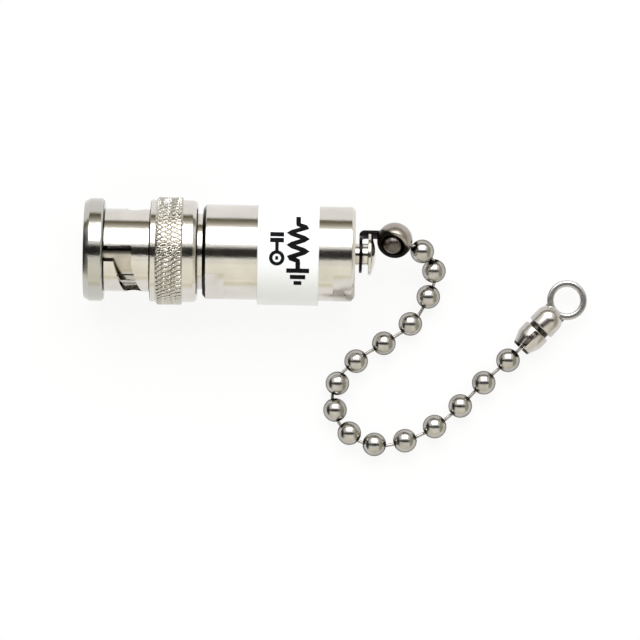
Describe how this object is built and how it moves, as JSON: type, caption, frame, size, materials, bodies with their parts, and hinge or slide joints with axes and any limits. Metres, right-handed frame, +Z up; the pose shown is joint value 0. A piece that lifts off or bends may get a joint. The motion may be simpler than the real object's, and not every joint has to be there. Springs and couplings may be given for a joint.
{
  "type": "coaxial terminator",
  "caption": "Coaxial bayonet terminator plug with a knurled coupling nut, a white label sleeve, spanner flats and a ball chain with an end ring on its back.",
  "frame": {"origin": "on the plug's axis, at the coupling nut's front face", "axes": "+X along the plug's axis from the mating end to the chain end, +Z up with the plug lying on its side, +Y to the left seen from the mating end"},
  "size_m": [0.0678, 0.0344, 0.0144],
  "materials": {
    "turned_nickel": "bright nickel plate on turned brass, faint yellowish tint, light handling marks",
    "washer_metal": "plain spring steel sheet",
    "gasket_rubber": "smooth red brown silicone rubber",
    "contact_brass": "pale nickel plated contact brass",
    "white_insulator": "white PTFE, waxy",
    "gold_pin": "gold plated contact",
    "label_white": "white sleeve with black print marks, semi gloss",
    "resistor_coat": "brown resistor lacquer",
    "tinned_wire": "tinned copper wire",
    "stud_nickel": "bright nickel plated rivet",
    "chain_nickel": "nickel plated sheet balls and wire, slightly dull",
    "clip_nickel": "nickel plated sheet, a little tarnished"
  },
  "bodies": {
    "plug": {"front_housing": "turned_nickel", "rear_housing": "turned_nickel", "label_sleeve": "label_white", "outer_contact": "contact_brass", "insulator": "white_insulator", "centre_pin": "gold_pin", "gasket": "gasket_rubber", "retaining_ring": "washer_metal", "wave_washer": "washer_metal", "resistor_body": "resistor_coat", "resistor_caps": "tinned_wire", "front_wire": "tinned_wire", "rear_wire": "tinned_wire", "ground_disc": "contact_brass", "chain_stud": "stud_nickel"},
    "thrust_washer": {"thrust_washer": "contact_brass"},
    "coupling_nut": {"coupling_nut": "turned_nickel"},
    "near_connector": {"near_connector": "clip_nickel"},
    "ball_01": {"ball_01": "chain_nickel"},
    "link_01": {"link_01": "chain_nickel"},
    "ball_02": {"ball_02": "chain_nickel"},
    "link_02": {"link_02": "chain_nickel"},
    "ball_03": {"ball_03": "chain_nickel"},
    "link_03": {"link_03": "chain_nickel"},
    "ball_04": {"ball_04": "chain_nickel"},
    "link_04": {"link_04": "chain_nickel"},
    "ball_05": {"ball_05": "chain_nickel"},
    "link_05": {"link_05": "chain_nickel"},
    "ball_06": {"ball_06": "chain_nickel"},
    "link_06": {"link_06": "chain_nickel"},
    "ball_07": {"ball_07": "chain_nickel"},
    "link_07": {"link_07": "chain_nickel"},
    "ball_08": {"ball_08": "chain_nickel"},
    "link_08": {"link_08": "chain_nickel"},
    "ball_09": {"ball_09": "chain_nickel"},
    "link_09": {"link_09": "chain_nickel"},
    "ball_10": {"ball_10": "chain_nickel"},
    "link_10": {"link_10": "chain_nickel"},
    "ball_11": {"ball_11": "chain_nickel"},
    "link_11": {"link_11": "chain_nickel"},
    "ball_12": {"ball_12": "chain_nickel"},
    "link_12": {"link_12": "chain_nickel"},
    "ball_13": {"ball_13": "chain_nickel"},
    "link_13": {"link_13": "chain_nickel"},
    "ball_14": {"ball_14": "chain_nickel"},
    "link_14": {"link_14": "chain_nickel"},
    "ball_15": {"ball_15": "chain_nickel"},
    "link_15": {"link_15": "chain_nickel"},
    "ball_16": {"ball_16": "chain_nickel"},
    "link_16": {"link_16": "chain_nickel"},
    "ball_17": {"ball_17": "chain_nickel"},
    "far_connector": {"far_connector": "clip_nickel"}
  },
  "joints": [
    {"name": "nut_pull", "type": "slide", "parent": "plug", "child": "thrust_washer", "axis": [-1, 0, 0], "range_m": [0, 0.0004], "stiffness_N_per_m": 20000, "springref_m": -0.0002, "deforming": ["wave_washer"]},
    {"name": "nut_turn", "type": "hinge", "parent": "thrust_washer", "child": "coupling_nut", "pos_m": [0.0139, 0, 0], "axis": [1, 0, 0], "continuous": true},
    {"name": "chain_swivel", "type": "hinge", "parent": "plug", "child": "near_connector", "pos_m": [0.037, 0, 0], "axis": [1, 0, 0], "continuous": true},
    {"name": "clasp_lift", "type": "hinge", "parent": "near_connector", "child": "ball_01", "pos_m": [0.04145, 0.00174, -0.00118], "axis": [0.1564, 0.9877, 0], "range_deg": [-12, 12]},
    {"name": "link_01_swing", "type": "hinge", "parent": "ball_01", "child": "link_01", "pos_m": [0.04288, 0.00151, -0.00165], "axis": [0, 0, 1], "range_deg": [-27, 27]},
    {"name": "ball_02_lift", "type": "hinge", "parent": "link_01", "child": "ball_02", "pos_m": [0.0442, 0.0013, -0.00208], "axis": [0.1564, 0.9877, 0], "range_deg": [-25, 7]},
    {"name": "link_02_swing", "type": "hinge", "parent": "ball_02", "child": "link_02", "pos_m": [0.04652, -0.00009, -0.00349], "axis": [0, 0, -1], "range_deg": [-40, 19]},
    {"name": "ball_03_lift", "type": "hinge", "parent": "link_02", "child": "ball_03", "pos_m": [0.04686, -0.0006, -0.00389], "axis": [-0.829, -0.5592, 0], "range_deg": [-25, 24]},
    {"name": "link_03_swing", "type": "hinge", "parent": "ball_03", "child": "link_03", "pos_m": [0.04717, -0.00336, -0.00517], "axis": [0, 0, 1], "range_deg": [-15, 40]},
    {"name": "ball_04_lift", "type": "hinge", "parent": "link_03", "child": "ball_04", "pos_m": [0.04695, -0.0041, -0.00533], "axis": [0.9563, -0.2924, 0], "range_deg": [-25, 25]},
    {"name": "link_04_swing", "type": "hinge", "parent": "ball_04", "child": "link_04", "pos_m": [0.04573, -0.00688, -0.00565], "axis": [0, 0, -1], "range_deg": [-32, 19]},
    {"name": "ball_05_lift", "type": "hinge", "parent": "link_04", "child": "ball_05", "pos_m": [0.04504, -0.00809, -0.00565], "axis": [-0.866, 0.5, 0], "range_deg": [-23, 23]},
    {"name": "link_05_swing", "type": "hinge", "parent": "ball_05", "child": "link_05", "pos_m": [0.04294, -0.0103, -0.00565], "axis": [0, 0, 1], "range_deg": [-12, 39]},
    {"name": "ball_06_lift", "type": "hinge", "parent": "link_05", "child": "ball_06", "pos_m": [0.04175, -0.01107, -0.00565], "axis": [0.5446, -0.8387, 0], "range_deg": [-25, 25]},
    {"name": "link_06_swing", "type": "hinge", "parent": "ball_06", "child": "link_06", "pos_m": [0.03916, -0.01269, -0.00565], "axis": [0, 0, -1], "range_deg": [-26, 24]},
    {"name": "ball_07_lift", "type": "hinge", "parent": "link_06", "child": "ball_07", "pos_m": [0.03794, -0.01342, -0.00565], "axis": [-0.515, 0.8572, 0], "range_deg": [-24, 24]},
    {"name": "link_07_swing", "type": "hinge", "parent": "ball_07", "child": "link_07", "pos_m": [0.03556, -0.01532, -0.00565], "axis": [0, 0, 1], "range_deg": [-40, 28]},
    {"name": "ball_08_lift", "type": "hinge", "parent": "link_07", "child": "ball_08", "pos_m": [0.03488, -0.01602, -0.00565], "axis": [0.7193, -0.6947, 0], "range_deg": [-25, 25]},
    {"name": "link_08_swing", "type": "hinge", "parent": "ball_08", "child": "link_08", "pos_m": [0.03367, -0.01881, -0.00565], "axis": [0, 0, -1], "range_deg": [-17, 40]},
    {"name": "ball_09_lift", "type": "hinge", "parent": "link_08", "child": "ball_09", "pos_m": [0.03363, -0.01955, -0.00565], "axis": [-0.9986, 0.0523, 0], "range_deg": [-25, 25]},
    {"name": "link_09_swing", "type": "hinge", "parent": "ball_09", "child": "link_09", "pos_m": [0.03442, -0.0225, -0.00565], "axis": [0, 0, 1], "range_deg": [-40, 20]},
    {"name": "ball_10_lift", "type": "hinge", "parent": "link_09", "child": "ball_10", "pos_m": [0.03483, -0.02314, -0.00565], "axis": [0.8387, 0.5446, 0], "range_deg": [-25, 25]},
    {"name": "link_10_swing", "type": "hinge", "parent": "ball_10", "child": "link_10", "pos_m": [0.03717, -0.0251, -0.00565], "axis": [0, 0, -1], "range_deg": [-21, 40]},
    {"name": "ball_11_lift", "type": "hinge", "parent": "link_10", "child": "ball_11", "pos_m": [0.03791, -0.02541, -0.00565], "axis": [-0.3907, -0.9205, 0], "range_deg": [-25, 25]},
    {"name": "link_11_swing", "type": "hinge", "parent": "ball_11", "child": "link_11", "pos_m": [0.04094, -0.02573, -0.00565], "axis": [0, 0, 1], "range_deg": [-40, 16]},
    {"name": "ball_12_lift", "type": "hinge", "parent": "link_11", "child": "ball_12", "pos_m": [0.04211, -0.02551, -0.00565], "axis": [-0.1908, 0.9816, 0], "range_deg": [-25, 25]},
    {"name": "link_12_swing", "type": "hinge", "parent": "ball_12", "child": "link_12", "pos_m": [0.045, -0.02451, -0.00565], "axis": [0, 0, -1], "range_deg": [-17, 33]},
    {"name": "ball_13_lift", "type": "hinge", "parent": "link_12", "child": "ball_13", "pos_m": [0.04626, -0.02387, -0.00565], "axis": [0.454, -0.891, 0], "range_deg": [-24, 24]},
    {"name": "link_13_swing", "type": "hinge", "parent": "ball_13", "child": "link_13", "pos_m": [0.04879, -0.02216, -0.00565], "axis": [0, 0, 1], "range_deg": [-32, 18]},
    {"name": "ball_14_lift", "type": "hinge", "parent": "link_13", "child": "ball_14", "pos_m": [0.04986, -0.02123, -0.00565], "axis": [-0.6561, 0.7547, 0], "range_deg": [-25, 25]},
    {"name": "link_14_swing", "type": "hinge", "parent": "ball_14", "child": "link_14", "pos_m": [0.05204, -0.01909, -0.00565], "axis": [0, 0, -1], "range_deg": [-22, 29]},
    {"name": "ball_15_lift", "type": "hinge", "parent": "link_14", "child": "ball_15", "pos_m": [0.05299, -0.01804, -0.00565], "axis": [0.7431, -0.6691, 0], "range_deg": [-25, 25]},
    {"name": "link_15_swing", "type": "hinge", "parent": "ball_15", "child": "link_15", "pos_m": [0.05514, -0.01588, -0.00565], "axis": [0, 0, 1], "range_deg": [-22, 28]},
    {"name": "ball_16_lift", "type": "hinge", "parent": "link_15", "child": "ball_16", "pos_m": [0.0562, -0.01493, -0.00565], "axis": [-0.6691, 0.7431, 0], "range_deg": [-23, 25]},
    {"name": "link_16_swing", "type": "hinge", "parent": "ball_16", "child": "link_16", "pos_m": [0.05837, -0.0128, -0.00553], "axis": [0, 0, -1], "range_deg": [-22, 27]},
    {"name": "ball_17_lift", "type": "hinge", "parent": "link_16", "child": "ball_17", "pos_m": [0.05934, -0.01176, -0.00542], "axis": [0.7314, -0.682, 0], "range_deg": [-25, 25]},
    {"name": "far_lift", "type": "hinge", "parent": "ball_17", "child": "far_connector", "pos_m": [0.06037, -0.01065, -0.00531], "axis": [-0.7314, 0.682, 0], "range_deg": [-25, 25]}
  ]
}
